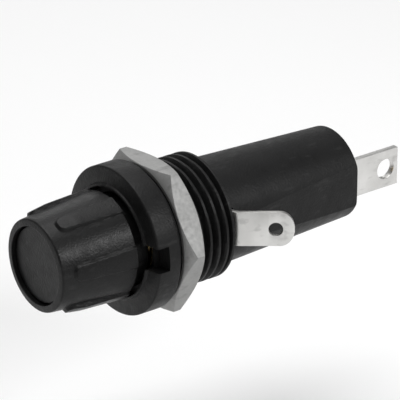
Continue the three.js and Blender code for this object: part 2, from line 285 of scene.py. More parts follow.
def thread_height(y, angles, pitch, start, end):
    """How far up a flat-topped V thread stands, from 0 at its root to 1 at its crest. It fades
    out towards its start and its end."""
    root_share = 0.1
    flank_share = 0.62
    fade_pitches = 0.6
    phase = (y / pitch + angles / TURN) % 1.0
    ridge = 1 - 2 * np.abs(phase - 0.5)
    fade = np.clip(min(y - start, end - y) / (fade_pitches * pitch), 0, 1)
    return np.clip((ridge - root_share) / flank_share, 0, 1) * fade


def smooth_step(x):
    """An S-shaped rise from 0 at 0 to 1 at 1."""
    x = np.clip(x, 0, 1)
    return x * x * (3 - 2 * x)


def rows(start, end, step):
    """Evenly spaced values from start to end, about step apart."""
    count = max(2, int(round(abs(end - start) / step)) + 1)
    return list(np.linspace(start, end, count))


def box_object(name, low, high):
    """A box between two corners in millimetres, used only as a cutter."""
    points = [(x, y, z) for x in (low[0], high[0]) for y in (low[1], high[1]) for z in (low[2], high[2])]
    faces = [[0, 1, 3, 2], [4, 6, 7, 5], [0, 4, 5, 1], [2, 3, 7, 6], [0, 2, 6, 4], [1, 5, 7, 3]]
    return make_object(name, points, faces)


def cut(obj, cutter, sharp_degrees=35):
    """Removes the cutter's volume from obj and deletes the cutter."""
    modifier = obj.modifiers.new("cut", "BOOLEAN")
    modifier.operation = "DIFFERENCE"
    modifier.solver = "EXACT"
    modifier.object = cutter
    apply_modifiers(obj)
    bpy.data.objects.remove(cutter)
    obj.data.set_sharp_from_angle(angle=math.radians(sharp_degrees))


def apply_modifiers(obj):
    """Replaces the object's mesh by the mesh that its modifiers give."""
    graph = bpy.context.evaluated_depsgraph_get()
    final = bpy.data.meshes.new_from_object(obj.evaluated_get(graph))
    obj.modifiers.clear()
    old = obj.data
    obj.data = final
    bpy.data.meshes.remove(old)


def bevelled(obj, width, segments, angle_degrees):
    """Rounds the object's sharp edges by a width in millimetres."""
    modifier = obj.modifiers.new("edges", "BEVEL")
    modifier.width = width * MM
    modifier.segments = segments
    modifier.limit_method = "ANGLE"
    modifier.angle_limit = math.radians(angle_degrees)
    apply_modifiers(obj)
    obj.data.polygons.foreach_set("use_smooth", [True] * len(obj.data.polygons))
    obj.data.set_sharp_from_angle(angle=math.radians(angle_degrees))


def spin(obj, angle):
    """Turns the object's mesh about the Y axis, from +X towards +Z."""
    for vertex in obj.data.vertices:
        x, z = vertex.co.x, vertex.co.z
        vertex.co.x = x * math.cos(angle) - z * math.sin(angle)
        vertex.co.z = x * math.sin(angle) + z * math.cos(angle)


def finish_piece(obj, body, node, material):
    """Gives the piece its material, body and material slot, and hides its CAD node."""
    obj.data.materials.clear()
    obj.data.materials.append(material)
    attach(obj, body)
    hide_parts(node)


# ---- Materials ---------------------------------------------------------------------------------

# Places of the colour sockets among a Mix node's inputs and outputs.
MIX_FIRST = 6
MIX_SECOND = 7
MIX_RESULT = 2


class Nodes:
    """A small helper around one material's node tree. Noise scales are in features per metre."""

    def __init__(self, name):
        self.material = bpy.data.materials.new(name)
        self.material.use_nodes = True
        self.tree = self.material.node_tree
        self.shader = self.tree.nodes["Principled BSDF"]
        self.place = self.add("ShaderNodeTexCoord").outputs["Object"]

    def add(self, kind, **inputs):
        node = self.tree.nodes.new(kind)
        for name, value in inputs.items():
            node.inputs[name.replace("_", " ")].default_value = value
        return node

    def link(self, output, target):
        self.tree.links.new(output, target)

    def noise(self, scale, detail=4.0, stretch=None):
        """Noise over the object. A stretch scales it along x, y and z, and below 1 draws it out."""
        node = self.add("ShaderNodeTexNoise", Scale=scale, Detail=detail)
        place = self.place
        if stretch:
            mapping = self.add("ShaderNodeMapping", Scale=stretch)
            self.link(place, mapping.inputs["Vector"])
            place = mapping.outputs["Vector"]
        self.link(place, node.inputs["Vector"])
        return node.outputs["Fac"]

    def spread(self, value, low, high, start=0.3, end=0.7):
        """Maps values between start and end to the range from low to high."""
        node = self.add("ShaderNodeMapRange")
        self.link(value, node.inputs["Value"])
        node.inputs["From Min"].default_value = start
        node.inputs["From Max"].default_value = end
        node.inputs["To Min"].default_value = low
        node.inputs["To Max"].default_value = high
        return node.outputs["Result"]

    def mixed(self, factor, first, second):
        """A colour between a first colour, or another mix, and a second colour."""
        node = self.tree.nodes.new("ShaderNodeMix")
        node.data_type = "RGBA"
        self.link(factor, node.inputs["Factor"])
        if isinstance(first, tuple):
            node.inputs[MIX_FIRST].default_value = (*first, 1)
        else:
            self.link(first, node.inputs[MIX_FIRST])
        node.inputs[MIX_SECOND].default_value = (*second, 1)
        return node.outputs[MIX_RESULT]

    def bump(self, heights):
        """A chain of bumps from (value, strength, distance in millimetres)."""
        normal = None
        for value, strength, distance in heights:
            node = self.add("ShaderNodeBump", Strength=strength, Distance=distance * MM)
            self.link(value, node.inputs["Height"])
            if normal:
                self.link(normal, node.inputs["Normal"])
            normal = node.outputs["Normal"]
        self.link(normal, self.shader.inputs["Normal"])


def moulded_plastic(name, dark, light, roughness, grain):
    """Black moulded plastic: fine mould grain, faint flow marks and pale scuffs."""
    scuff_colour = (0.03, 0.03, 0.03)
    n = Nodes(name)
    clouds = n.noise(scale=180, detail=3)
    colour = n.mixed(n.spread(clouds, low=0, high=1), dark, light)
    streaks = n.noise(scale=1300, detail=6, stretch=(1, 0.3, 1))
    scuffs = n.spread(streaks, low=0, high=0.5, start=0.6, end=0.75)
    n.link(n.mixed(scuffs, colour, scuff_colour), n.shader.inputs["Base Color"])
    sheen = n.spread(n.noise(scale=900, detail=5), low=roughness - 0.07, high=roughness + 0.07)
    n.link(sheen, n.shader.inputs["Roughness"])
    n.shader.inputs["IOR"].default_value = 1.33
    n.shader.inputs["Specular IOR Level"].default_value = 0.4
    n.bump([(n.noise(scale=grain, detail=3), 0.8, 0.05), (clouds, 0.1, 0.05)])
    return n.material


def plated_metal(name, dark, light, roughness, brush=(1, 1, 1)):
    """Plated metal: fine brushing, cloudy colour and dulled patches."""
    dulling = 0.7
    n = Nodes(name)
    clouds = n.noise(scale=350, detail=4)
    brushing = n.noise(scale=2500, detail=4, stretch=brush)
    colour = n.mixed(n.spread(clouds, low=0, high=1), dark, light)
    patches = n.noise(scale=900, detail=6, stretch=(1, 0.4, 1))
    scuffs = n.spread(patches, low=0, high=0.6, start=0.56, end=0.7)
    dulled = tuple(channel * dulling for channel in dark)
    n.link(n.mixed(scuffs, colour, dulled), n.shader.inputs["Base Color"])
    n.shader.inputs["Metallic"].default_value = 1.0
    sheen = n.spread(brushing, low=roughness - 0.05, high=roughness + 0.07)
    n.link(sheen, n.shader.inputs["Roughness"])
    n.bump([(brushing, 0.1, 0.006)])
    return n.material


def rubber(name, dark, light):
    """Dull black rubber with a dusty bloom."""
    n = Nodes(name)
    bloom = n.spread(n.noise(scale=600, detail=5), low=0, high=1)
    n.link(n.mixed(bloom, dark, light), n.shader.inputs["Base Color"])
    n.shader.inputs["Specular IOR Level"].default_value = 0.2
    sheen = n.spread(n.noise(scale=1500, detail=4), low=0.75, high=0.95)
    n.link(sheen, n.shader.inputs["Roughness"])
    n.bump([(n.noise(scale=3000, detail=4), 0.3, 0.01)])
    return n.material


def clear_glass(name, colour):
    """Thin clear glass with faint streaks along its length."""
    n = Nodes(name)
    n.shader.inputs["Base Color"].default_value = (*colour, 1)
    n.shader.inputs["Transmission Weight"].default_value = 1.0
    n.shader.inputs["IOR"].default_value = 1.47
    streaks = n.noise(scale=400, detail=3, stretch=(1, 0.1, 1))
    n.link(n.spread(streaks, low=0.02, high=0.08), n.shader.inputs["Roughness"])
    n.bump([(streaks, 0.05, 0.01)])
    return n.material


PLASTIC_DARK = (0.004, 0.004, 0.0041)
PLASTIC_LIGHT = (0.007, 0.007, 0.0071)
BLACK = moulded_plastic("moulded black", PLASTIC_DARK, PLASTIC_LIGHT, roughness=0.46, grain=3500)
KNOB_BLACK = moulded_plastic("knob black", PLASTIC_DARK, PLASTIC_LIGHT, roughness=0.36, grain=4200)
RUBBER = rubber("washer rubber", (0.003, 0.003, 0.003), (0.008, 0.008, 0.0078))
NICKEL = plated_metal("nut nickel", (0.34, 0.34, 0.335), (0.39, 0.39, 0.385), roughness=0.66)
TIN = plated_metal("terminal tin", (0.56, 0.555, 0.54), (0.68, 0.675, 0.66), roughness=0.34,
                   brush=(1, 0.15, 1))
BRASS = plated_metal("contact brass", (0.62, 0.45, 0.20), (0.76, 0.58, 0.29), roughness=0.3)
STEEL = plated_metal("spring steel", (0.40, 0.40, 0.39), (0.52, 0.52, 0.51), roughness=0.28)
FUSE_NICKEL = plated_metal("fuse nickel", (0.60, 0.59, 0.57), (0.70, 0.69, 0.67), roughness=0.25)
WIRE = plated_metal("fuse wire", (0.48, 0.47, 0.45), (0.58, 0.57, 0.55), roughness=0.35)
SOLDER = plated_metal("solder", (0.40, 0.40, 0.40), (0.52, 0.52, 0.51), roughness=0.45)
GLASS = clear_glass("fuse glass", (0.93, 0.97, 0.96))


# ---- Body moulding -----------------------------------------------------------------------------

def build_front_body():
    """The flange with its lip, and the threaded shank behind it."""
    outer = eased([
        (LIP_BORE, LIP_FLOOR, 0),
        (LIP_BORE, LIP_FRONT, 0.06),
        (LIP_RADIUS, LIP_FRONT, 0.12),
        (LIP_RADIUS + LIP_FOOT_SPREAD, FLANGE_FACE - 0.2, 0.1),
        (FLANGE_RADIUS, FLANGE_FACE, 0.22),
        (FLANGE_RADIUS, 0, 0.2),
        (THREAD_ROOT, 0, 0.1),
        (THREAD_ROOT, THREAD_START, 0),
    ])
    thread_rows = rows(THREAD_START + 0.05, THREAD_END - 0.12, THREAD_PITCH / THREAD_STEPS)
    shank = [(THREAD_ROOT, y) for y in thread_rows]
    shoulder = [(THREAD_RADIUS - 0.08, THREAD_END - 0.06), (THREAD_RADIUS - 0.25, THREAD_END)]
    inner = [
        (CONTACT_BORE + 0.2, THREAD_END),
        (CONTACT_BORE, THREAD_END - 0.2),
        (CONTACT_BORE, LIP_FLOOR + 0.2),
        (CONTACT_BORE + 0.2, LIP_FLOOR),
    ]

    def reshape(radius, y, angles):
        if radius != THREAD_ROOT or y < THREAD_START:
            return np.full(len(angles), radius)
        height = thread_height(y, angles, THREAD_PITCH, THREAD_START, THREAD_END + THREAD_PITCH)
        land = smooth_step((y - THREAD_END + THREAD_LAND_START) / THREAD_LAND_RISE)
        return THREAD_ROOT + (THREAD_RADIUS - THREAD_ROOT) * np.maximum(height, land)

    body = turned("front_body", outer + shank + shoulder + inner, BODY_SIDES, reshape, sharp_degrees=50)
    for side in (0, math.pi):
        half = NOTCH_WIDTH / 2
        outer_low = (LIP_RADIUS + NOTCH_OVERCUT, LIP_FRONT - 1, -half)
        outer_high = (FLANGE_RADIUS + 1, FLANGE_FACE + NOTCH_DEPTH, half)
        lip_low = (LIP_BORE - 1, LIP_FRONT - 1, -half - NOTCH_OVERCUT)
        lip_high = (LIP_RADIUS + 0.5, LIP_FRONT + NOTCH_LIP_DEPTH, half + NOTCH_OVERCUT)
        for low, high in ((outer_low, outer_high), (lip_low, lip_high)):
            cutter = box_object("notch", low, high)
            spin(cutter, NOTCH_ANGLE + side)
            cut(body, cutter, sharp_degrees=40)
    return body


def build_barrel():
    """The tapered barrel with a drafted flat on the side terminal's side."""
    length = BARREL_REAR - THREAD_END
    flat_columns = 24
    uncut_edge = 0.1

    def flat_x(y):
        return FLAT_FRONT_X + (FLAT_REAR_X - FLAT_FRONT_X) * (y - THREAD_END) / length

    def flat_edge(radius, y):
        return math.acos(min(0.999, flat_x(y) / radius))

    def angles_at(radius, y):
        edge = flat_edge(radius, y) if radius > flat_x(y) else uncut_edge
        flat = np.linspace(-edge, edge, flat_columns, endpoint=False)
        rest = np.linspace(edge, TURN - edge, BODY_SIDES - flat_columns, endpoint=False)
        return np.concatenate([flat, rest])

    def reshape(radius, y, angles):
        radii = np.full(len(angles), radius)
        if radius > flat_x(y):
            across = np.cos(angles)
            on_flat = across > flat_x(y) / radius
            radii[on_flat] = flat_x(y) / across[on_flat]
        return radii

    start = THREAD_END - 0.3
    side = []
    for y in rows(start, BARREL_REAR - BARREL_REAR_ROUND, 1.0):
        share = (y - THREAD_END) / length
        side.append((BARREL_FRONT_RADIUS + (BARREL_REAR_RADIUS - BARREL_FRONT_RADIUS) * share, y))
    corner = eased([
        (side[-1][0], side[-1][1], 0),
        (BARREL_REAR_RADIUS, BARREL_REAR, BARREL_REAR_ROUND),
        (BARREL_REAR_RADIUS - 2 * BARREL_REAR_ROUND, BARREL_REAR, 0),
    ], steps=7)
    inside = [
        (RIVET_HOLE, BARREL_REAR),
        (RIVET_HOLE, REAR_WALL_FRONT),
        (BARREL_BORE, REAR_WALL_FRONT),
        (BARREL_BORE, CONTACT_BORE_END),
        (CONTACT_BORE, CONTACT_BORE_END),
        (CONTACT_BORE, start),
    ]
    profile = side + corner[1:] + inside
    barrel = turned("barrel", profile, BODY_SIDES, reshape, angles_at, sharp_degrees=10)
    half = LUG_WIDTH / 2 + LUG_SLOT_GAP
    front = LUG_BEND[1] - LUG_THICKNESS / 2 - LUG_SLOT_GAP
    low = (CONTACT_BORE - 1, front, LUG_HEIGHT - half)
    high = (THREAD_RADIUS, CONTACT_BORE_END, LUG_HEIGHT + half)
    cut(barrel, box_object("lug slot", low, high), sharp_degrees=10)
    return barrel


# ---- Panel hardware ----------------------------------------------------------------------------

def build_washer():
    """The rubber washer, squeezed a little unevenly, with its rim inside the flange's."""
    front, rear = span("panel_washer")
    inner = WASHER_BORE_RADIUS
    outer = top_radius("panel_washer") - WASHER_SQUEEZE
    corners = [
        (inner, (front + rear) / 2, 0),
        (inner, front, 0.1),
        (outer, front, 0.14),
        (outer, rear, 0.14),
        (inner, rear, 0.1),
        (inner, (front + rear) / 2 + 0.01, 0),
    ]

    def reshape(radius, y, angles):
        ripple = 0.03 * np.sin(3 * angles + 0.4) + 0.02 * np.sin(7 * angles)
        return radius + ripple * (radius > inner + 0.2)

    return turned("rubber_washer", eased(corners), BODY_SIDES, reshape)


def build_nut():
    """A hexagon nut with cone chamfers on both faces and a threaded bore."""
    front, rear = span("hex_nut")
    columns_per_side = 40
    sides = NUT_SIDES * columns_per_side
    side_turn = TURN / NUT_SIDES
    angles = np.arange(sides) / sides * TURN + NUT_CORNER_ANGLE
    corner = NUT_FLAT / np.cos((angles - NUT_CORNER_ANGLE) % side_turn - side_turn / 2)
    drop = (corner - NUT_FLAT + NUT_FACE_INSET) * NUT_CHAMFER_SLOPE
    face = NUT_FLAT - NUT_FACE_INSET
    countersink = np.full(sides, NUT_BORE + NUT_COUNTERSINK)
    rings = []
    for y in rows(rear - 0.35, front + 0.35, THREAD_PITCH / 10):
        height = thread_height(y, angles, THREAD_PITCH, front, rear)
        rings.append((NUT_BORE - NUT_THREAD_HEIGHT * height, np.full(sides, y)))
    rings.append((countersink, np.full(sides, front)))
    rings.append((np.full(sides, face), np.full(sides, front)))
    for share in (0.5, 1.0):
        rings.append((face + (corner - face) * share, front + drop * share))
    for share in (0.25, 0.5, 0.75):
        y = (front + drop) * (1 - share) + (rear - drop) * share
        rings.append((corner, y))
    for share in (1.0, 0.5):
        rings.append((face + (corner - face) * share, rear - drop * share))
    rings.append((np.full(sides, face), np.full(sides, rear)))
    rings.append((countersink, np.full(sides, rear)))
    points = []
    for radii, heights in rings:
        points.extend(zip(radii * np.cos(angles), heights, radii * np.sin(angles)))
    faces = ring_quads(len(rings), sides, closed=True)
    nut = make_object("panel_nut", points, faces, NUT_SHARP_DEGREES)
    bevelled(nut, width=0.13, segments=3, angle_degrees=NUT_SHARP_DEGREES)
    return nut


# ---- Terminals ---------------------------------------------------------------------------------

def strip(name, path, width_at, thickness, height):
    """A flat strip of metal along a path in the XY plane, its width along Z and its middle at
    the given height. width_at(distance) gives half the width, in millimetres."""
    path = np.array(path, float)
    steps = np.diff(path, axis=0)
    distance = np.concatenate([[0], np.cumsum(np.linalg.norm(steps, axis=1))])
    tangent = np.gradient(path, distance, axis=0)
    tangent /= np.linalg.norm(tangent, axis=1)[:, None]
    normal = np.stack([tangent[:, 1], -tangent[:, 0]], axis=1)
    points = []
    for place, out, along in zip(path, normal, distance):
        half = width_at(along)
        for side, across in ((1, -half), (1, half), (-1, half), (-1, -half)):
            x, y = place + out * side * thickness / 2
            points.append((x, y, height + across))
    section_corners = 4
    faces = end_faces(len(path), section_corners) + ring_quads(len(path), section_corners)
    return make_object(name, points, faces)


def bend_path(start, corner, end, reach, steps=8):
    """Two straight runs joined by a bend that starts and ends a reach from the corner."""
    start, corner, end = (np.array(p, float) for p in (start, corner, end))
    first = corner + (start - corner) / np.linalg.norm(start - corner) * reach
    last = corner + (end - corner) / np.linalg.norm(end - corner) * reach
    path = [start + (first - start) * t for t in np.linspace(0, 1, 4)[:-1]]
    straight = [last + (end - last) * t for t in np.linspace(0, 1, 28)[1:]]
    return path + curve(first, corner, last, steps) + straight


def pin_cutter(radius, centre, direction, length=4.0, sides=64):
    """A round cutter through the centre, along a direction, in millimetres."""
    points = []
    axis = Vector(direction).normalized()
    side = axis.orthogonal().normalized()
    other = axis.cross(side)
    for end in (-0.5, 0.5):
        for i in range(sides):
            angle = TURN * i / sides
            spoke = side * math.cos(angle) + other * math.sin(angle)
            points.append(tuple(Vector(centre) + axis * end * length + spoke * radius))
    return make_object("pin cutter", points, end_faces(2, sides) + ring_quads(2, sides))


def build_side_terminal():
    """The solder lug: a tongue from the contact sleeve, bent back, with a round eye."""
    along = np.array([math.sin(LUG_LEAN), math.cos(LUG_LEAN)])
    bend = np.array(LUG_BEND)
    start = (LUG_START_X, LUG_BEND[1])
    tip = bend + along * LUG_LENGTH
    path = bend_path(start, bend, tip, LUG_BEND_REACH)
    runs = np.linalg.norm(np.diff(np.array(path), axis=0), axis=1)
    total = float(runs.sum())
    half = LUG_WIDTH / 2
    path = [point for point in path if np.linalg.norm(tip - point) > LUG_TIP_LENGTH]
    for t in np.linspace(0, math.pi / 2, 16):
        path.append(tip - along * LUG_TIP_LENGTH * (1 - math.sin(t)))

    def width_at(distance):
        into = distance - (total - LUG_TIP_LENGTH)
        if into <= 0:
            return half
        return half * math.sqrt(max(0.03, 1 - (into / LUG_TIP_LENGTH) ** 2))

    lug = strip("side_lug", path, width_at, LUG_THICKNESS, LUG_HEIGHT)
    hole = bend + along * LUG_HOLE_AT
    normal = (math.cos(LUG_LEAN), -math.sin(LUG_LEAN), 0)
    cut(lug, pin_cutter(LUG_HOLE_RADIUS, (hole[0], hole[1], LUG_HEIGHT), normal))
    bevelled(lug, width=0.12, segments=3, angle_degrees=40)
    return lug


def build_end_terminal():
    """The end tab: a foot riveted to the rear wall, and a square-ended tab with a wire hole."""
    foot_front, tab_tip = span("end_terminal")
    centre_x = TAB_FACE_X - TAB_THICKNESS / 2
    foot_y = foot_front + TAB_THICKNESS / 2
    path = bend_path((TAB_FOOT_X, foot_y), (centre_x, foot_y), (centre_x, tab_tip), TAB_BEND_REACH)
    tab = strip("end_tab", path, lambda distance: TAB_WIDTH / 2, TAB_THICKNESS, 0)
    cut(tab, pin_cutter(TAB_HOLE_RADIUS, (centre_x, TAB_HOLE_Y, 0), (1, 0, 0)))
    cut(tab, pin_cutter(RIVET_HOLE, (0, foot_y, 0), (0, 1, 0)))
    bevelled(tab, width=0.1, segments=3, angle_degrees=40)
    return tab


def build_rivet():
    """The rivet that clamps the end terminal and the contact cup to the rear wall."""
    front, rear = span("end_contact_rivet")
    head = top_radius("end_contact_rivet")
    shank = 1.05
    thickness = 0.6
    dimple_depth = 0.25
    profile = eased([
        (0, front, 0),
        (head, front + 0.05, 0.35),
        (head, front + thickness, 0.1),
        (shank, front + thickness, 0.05),
        (shank, rear - thickness, 0.05),
        (head, rear - thickness, 0.1),
        (head, rear - 0.1, 0.35),
        (0.5, rear, 0.2),
        (0.35, rear - dimple_depth, 0.1),
        (0, rear - dimple_depth, 0),
    ])
    return turned("terminal_rivet", profile, SMALL_SIDES, closed=False)


def build_contact_cup():
    """The dished brass cup that the fuse's rear end rests in."""
    front, rear = span("end_contact_cup")
    rim = top_radius("end_contact_cup")
    wall = 0.4
    profile = eased([
        (RIVET_HOLE, rear - 0.2, 0),
        (RIVET_HOLE, rear - wall, 0.05),
        (rim - wall, rear - wall, 0.25),
        (rim - wall, front, 0.15),
        (rim, front, 0.15),
        (rim, rear, 0.5),
        (RIVET_HOLE, rear, 0.05),
        (RIVET_HOLE, rear - 0.19, 0),
    ])
    return turned("contact_cup", profile, SMALL_SIDES)


def build_sleeve():
    """The side contact sleeve with the internal thread that takes the cap."""
    front, rear = span("side_contact_sleeve")
    outer = top_radius("side_contact_sleeve")
    pitch = CAP_THREAD_PITCH
    thread_rows = rows(front + 0.4, SLEEVE_THREAD_REAR, pitch / CAP_THREAD_STEPS)
    threaded = [(SLEEVE_BORE, y) for y in thread_rows]
    profile = [(SLEEVE_BORE + 0.2, front)] + threaded + [
        (SLEEVE_BORE + 0.3, SLEEVE_THREAD_REAR + 0.2),
        (SLEEVE_BORE + 0.3, rear - 0.1),
        (SLEEVE_BORE + 0.35, rear),
        (outer - 0.05, rear),
        (outer, rear - 0.1),
        (outer, front + 0.1),
        (outer - 0.05, front),
    ]

    def reshape(radius, y, angles):
        if radius != SLEEVE_BORE:
            return np.full(len(angles), radius)
        groove = 1 - thread_height(y, angles, pitch, front, SLEEVE_THREAD_REAR + 0.5)
        return SLEEVE_BORE + SLEEVE_THREAD_HEIGHT * groove

    return turned("contact_sleeve", profile, SLEEVE_SIDES, reshape, sharp_degrees=50)


# ---- Screw cap ---------------------------------------------------------------------------------

def build_knob():
    """The moulded knob with six ribs that start in a round nose and run out at its base."""
    rim = KNOB_REAR

    def valley(y):
        share = (y - KNOB_FRONT) / (rim - KNOB_FRONT)
        return KNOB_FRONT_RADIUS + (KNOB_VALLEY_REAR - KNOB_FRONT_RADIUS) * share

    side_start = KNOB_FRONT + 0.45
    side_end = rim - 0.1
    front = eased([
        (RIVET_BORE, COUNTERBORE_FLOOR, 0),
        (COUNTERBORE_RADIUS, COUNTERBORE_FLOOR, 0),
        (COUNTERBORE_RADIUS, RECESS_FLOOR, 0.05),
        (RECESS_RADIUS, RECESS_FLOOR, 0.05),
        (RECESS_RADIUS, KNOB_FRONT, 0.08),
        (KNOB_FRONT_RADIUS, KNOB_FRONT + 0.1, 0.2),
        (valley(side_start), side_start, 0),
    ])
    nose_rows = rows(RIB_NOSE - 0.5, RIB_NOSE + 1.4, 0.07)
    long_rows = rows(RIB_NOSE + 1.6, side_end, 0.35)
    side = [(valley(y), y) for y in [side_start + 0.3, side_start + 0.7] + nose_rows + long_rows]
    back = [
        (valley(rim) - 0.1, rim),
        (KNOB_NECK + 0.05, rim),
        (KNOB_NECK, rim + 0.1),
        (KNOB_NECK, KNOB_NECK_REAR - 0.2),
        (KNOB_NECK - 0.2, KNOB_NECK_REAR),
        (KNOB_BORE + 0.2, KNOB_NECK_REAR),
        (KNOB_BORE, KNOB_NECK_REAR - 0.2),
        (KNOB_BORE, KNOB_BORE_END),
        (RIVET_BORE, KNOB_BORE_END),
    ]

    recess_and_bore = (RECESS_RADIUS + KNOB_FRONT_RADIUS) / 2
    rib_turn = TURN / RIB_COUNT

    def reshape(radius, y, angles):
        if y < side_start or y > rim or radius < recess_and_bore:
            return np.full(len(angles), radius)
        base_inset = radius - valley(y) if y == rim else 0
        turn = (angles - RIB_FIRST_ANGLE + rib_turn / 2) % rib_turn - rib_turn / 2
        share = np.clip((y - RIB_NOSE) / (rim - RIB_NOSE), 0, 1)
        half = RIB_HALF_WIDTH_NOSE + (RIB_HALF_WIDTH_REAR - RIB_HALF_WIDTH_NOSE) * share
        across = np.abs(turn) * RIB_RADIUS - half + RIB_NOSE_ROUND
        ahead = RIB_NOSE + RIB_NOSE_ROUND - y
        outside = np.hypot(np.maximum(across, 0), max(ahead, 0))
        distance = outside + np.minimum(np.maximum(across, ahead), 0) - RIB_NOSE_ROUND
        height = smooth_step((RIB_EDGE - distance) / (2 * RIB_EDGE))
        crown = np.interp(y, (RIB_NOSE, RIB_BEND, rim), (RIB_NOSE_RADIUS, RIB_BEND_RADIUS, RIB_RADIUS))
        return valley(y) + base_inset + (crown - valley(y)) * height

    return turned("knob", front + side + back, KNOB_SIDES, reshape, sharp_degrees=40)


def build_face_disc():
    """The disc pressed into the knob's front recess, very slightly dished."""
    front, rear = span("cap_face_disc")
    edge = top_radius("cap_face_disc")
    profile = eased([
        (0, front + 0.05, 0),
        (edge - 0.6, front + 0.03, 0.3),
        (edge, front, 0.12),
        (edge, rear, 0.05),
        (0, rear, 0),
    ])
    return turned("face_disc", profile, BODY_SIDES, closed=False)


def build_ferrule():
    """The brass ferrule: a cup with a threaded band and four fingers that grip the fuse."""
    front, rear = span("cap_ferrule")
    band = top_radius("cap_ferrule")
    band_front = FERRULE_THREAD_FRONT
    band_rear = FERRULE_THREAD_REAR
    pitch = CAP_THREAD_PITCH
    thread_rows = rows(band_front + 0.2, band_rear - 0.2, pitch / CAP_THREAD_STEPS)
    threaded = [(band, y) for y in thread_rows]
    waist_front = rear - 1.6
    waist = rear - 0.9
    floor = front + FERRULE_FLOOR_THICKNESS
    profile = [
        (RIVET_BORE, front),
        (FERRULE_NECK - 0.3, front),
        (FERRULE_NECK, front + 0.3),
        (FERRULE_NECK, band_front - 0.1),
        (FERRULE_NECK + 0.1, band_front),
    ] + threaded + [
        (FINGER_RADIUS + 0.05, band_rear),
        (FINGER_RADIUS, band_rear + 0.1),
        (FINGER_RADIUS - 0.05, waist_front),
        (FINGER_RADIUS - 0.1, waist),
        (FINGER_RADIUS, rear - 0.15),
        (FINGER_RADIUS - 0.15, rear),
        (FERRULE_BORE + 0.2, rear),
        (FERRULE_BORE, rear - 0.4),
        (FERRULE_BORE - 0.12, waist),
        (FERRULE_BORE, waist_front),
        (FERRULE_BORE, floor),
        (RIVET_BORE, floor),
    ]

    def reshape(radius, y, angles):
        if radius != band:
            return np.full(len(angles), radius)
        groove = 1 - thread_height(y, angles, pitch, band_front, band_rear)
        return band - FERRULE_THREAD_HEIGHT * groove

    ferrule = turned("ferrule", profile, SLEEVE_SIDES, reshape, sharp_degrees=50)
    half = FINGER_SLOT_WIDTH / 2
    low = (FERRULE_BORE - 0.45, FINGER_SLOT_FRONT, -half)
    high = (FINGER_RADIUS + 0.95, rear + 1, half)
    for k in range(FINGER_COUNT):
        cutter = box_object("finger slot", low, high)
        spin(cutter, FINGER_FIRST_SLOT + TURN * k / FINGER_COUNT)
        cut(ferrule, cutter, sharp_degrees=40)
    return ferrule


def build_ferrule_rivet():
    """The rivet that holds the ferrule in the knob, behind the face disc."""
    front, rear = span("ferrule_rivet")
    head = top_radius("ferrule_rivet")
    thickness = 0.3
    shank = 0.9
    profile = eased([
        (0, front, 0),
        (head, front, 0.15),
        (head, front + thickness, 0.05),
        (shank, front + thickness, 0),
        (shank, rear - thickness, 0),
        (head, rear - thickness, 0.05),
        (head, rear, 0.15),
        (0, rear, 0),
    ])
    return turned("ferrule_rivet_head", profile, SMALL_SIDES, closed=False)


def build_plunger():
    """The brass button that the spring presses on the fuse."""
    front, rear = span("cap_plunger")
    head = top_radius("cap_plunger")
    stem = 1.4
    head_front = rear - 1.5
    profile = eased([
        (0, front, 0),
        (stem, front, 0.3),
        (stem, head_front, 0.15),
        (head, head_front, 0.25),
        (head, rear - 0.25, 0.2),
        (head - 0.5, rear, 0.3),
        (0, rear, 0),
    ])
    return turned("contact_button", profile, SMALL_SIDES, closed=False)


def build_spring():
    """The contact spring. Its coils lie close together at both ends and open out between."""
    front, rear = span("cap_spring")
    wire = 0.3
    mean = top_radius("cap_spring") - wire
    open_turns = 3.0
    end_turns = 1.0
    turns = open_turns + 2 * end_turns
    steps = int(turns * 40)
    sides = 12
    start = front + wire
    end = rear - wire
    closed_turns = 0.7 * end_turns
    even_share = 0.08
    points = []
    for i in range(steps + 1):
        turn = turns * i / steps
        smooth = smooth_step((turn - closed_turns) / (turns - 2 * closed_turns))
        straight = np.clip((turn - end_turns) / open_turns, 0, 1)
        rise = 0.5 * smooth + 0.5 * straight
        y = start + (end - start) * (even_share * turn / turns + (1 - even_share) * rise)
        angle = TURN * turn
        for k in range(sides):
            around = TURN * k / sides
            radius = mean + wire * math.cos(around)
            height = wire * math.sin(around)
            points.append((radius * math.cos(angle), y + height, radius * math.sin(angle)))
    faces = end_faces(steps + 1, sides) + ring_quads(steps + 1, sides)
    return make_object("contact_spring", points, faces, sharp_degrees=60)


# ---- Cartridge fuse ----------------------------------------------------------------------------

def build_fuse_cap(name, node, opens_rearwards):
    """A pressed metal cap on one end of the fuse."""
    front, rear = span(node)
    closed_end, mouth = (front, rear) if opens_rearwards else (rear, front)
    way = 1 if opens_rearwards else -1
    outer = top_radius(node)
    inner = outer - 0.25
    floor = closed_end + way * 0.4
    profile = eased([
        (0, closed_end, 0),
        (outer, closed_end, 0.35),
        (outer, mouth, 0.05),
        (inner, mouth, 0.05),
        (inner, floor, 0.2),
        (0, floor, 0),
    ])
    return turned(name, profile, SMALL_SIDES, closed=False)


def build_glass():
    """The fuse's glass tube, with its ends melted round."""
    front, rear = span("fuse_glass_tube")
    outer = top_radius("fuse_glass_tube")
    inner = 2.1
    profile = eased([
        (inner, (front + rear) / 2, 0),
        (inner, front, 0.15),
        (outer, front, 0.15),
        (outer, rear, 0.15),
        (inner, rear, 0.15),
        (inner, (front + rear) / 2 + 0.1, 0),
    ])
    return turned("glass_tube", profile, SMALL_SIDES)


def build_fuse_wire():
    """The fuse wire: thin, straight and very slightly uneven."""
    front, rear = span("fuse_element")
    radius = 0.14
    profile = [(0, front)] + [(radius, y) for y in rows(front, rear, 1.0)] + [(0, rear)]

    def reshape(ring_radius, y, angles):
        return ring_radius * (1 + 0.04 * np.sin(3 * angles + 2 * y))

    return turned("fuse_wire", profile, 24, reshape, closed=False)


